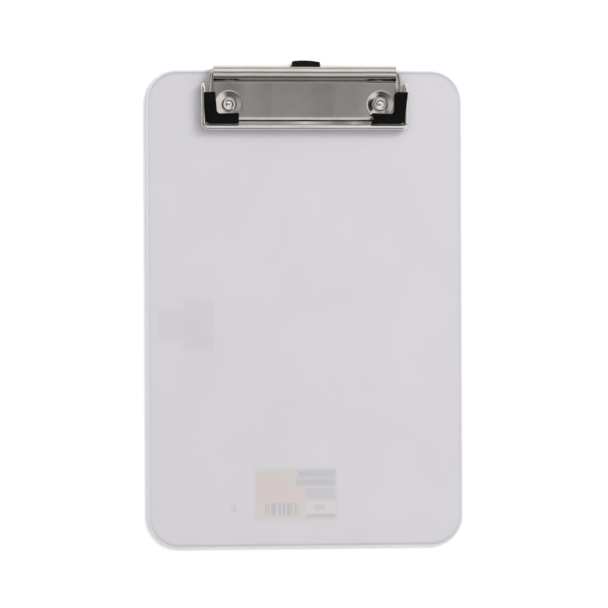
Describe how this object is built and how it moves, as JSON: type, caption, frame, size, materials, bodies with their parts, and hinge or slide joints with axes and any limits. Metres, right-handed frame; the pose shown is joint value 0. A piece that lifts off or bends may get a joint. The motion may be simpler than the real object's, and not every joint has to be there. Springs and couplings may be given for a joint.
{
  "type": "clipboard",
  "caption": "Memo-size clipboard: a translucent plastic board with a low-profile sprung steel clip, soft corner grips and a pull-out tab to hang it by.",
  "frame": {"origin": "centre of the board's outline on the plane that its back rim rests on", "axes": "+X to the right across the board, +Y towards the clip, +Z out of the writing face"},
  "size_m": [0.152, 0.2326, 0.0103],
  "materials": {
    "board_plastic": "translucent frosted plastic, lavender grey",
    "plate_steel": "nickel-chrome plated sheet steel",
    "jaw_steel": "nickel-chrome plated sheet steel",
    "eyelet_steel": "plated steel, bright",
    "washer_steel": "zinc-plated steel",
    "spring_wire": "plated spring wire",
    "grip_rubber": "black soft vinyl, satin",
    "tab_plastic": "black moulded plastic",
    "label_paper": "printed paper label",
    "clear_film": "clear adhesive film"
  },
  "bodies": {
    "board": {"board": "board_plastic", "base_plate": "plate_steel", "eyelet_left": "eyelet_steel", "eyelet_right": "eyelet_steel", "washer_left": "washer_steel", "washer_right": "washer_steel", "spring_crank": "spring_wire", "back_label": "label_paper", "back_film": "clear_film"},
    "jaw": {"jaw_frame": "jaw_steel", "grip_left": "grip_rubber", "grip_right": "grip_rubber", "spring_leg_left": "spring_wire", "spring_leg_right": "spring_wire"},
    "hang_tab": {"hang_tab": "tab_plastic"}
  },
  "joints": [
    {"name": "jaw_hinge", "type": "hinge", "parent": "board", "child": "jaw", "pos_m": [0, 0.11215, 0.0084], "axis": [-1, 0, 0], "range_deg": [0, 75], "stiffness_Nm_per_rad": 0.3, "springref_deg": -34.38},
    {"name": "tab_slide", "type": "slide", "parent": "board", "child": "hang_tab", "axis": [0, 1, 0], "range_m": [0, 0.0113]}
  ]
}
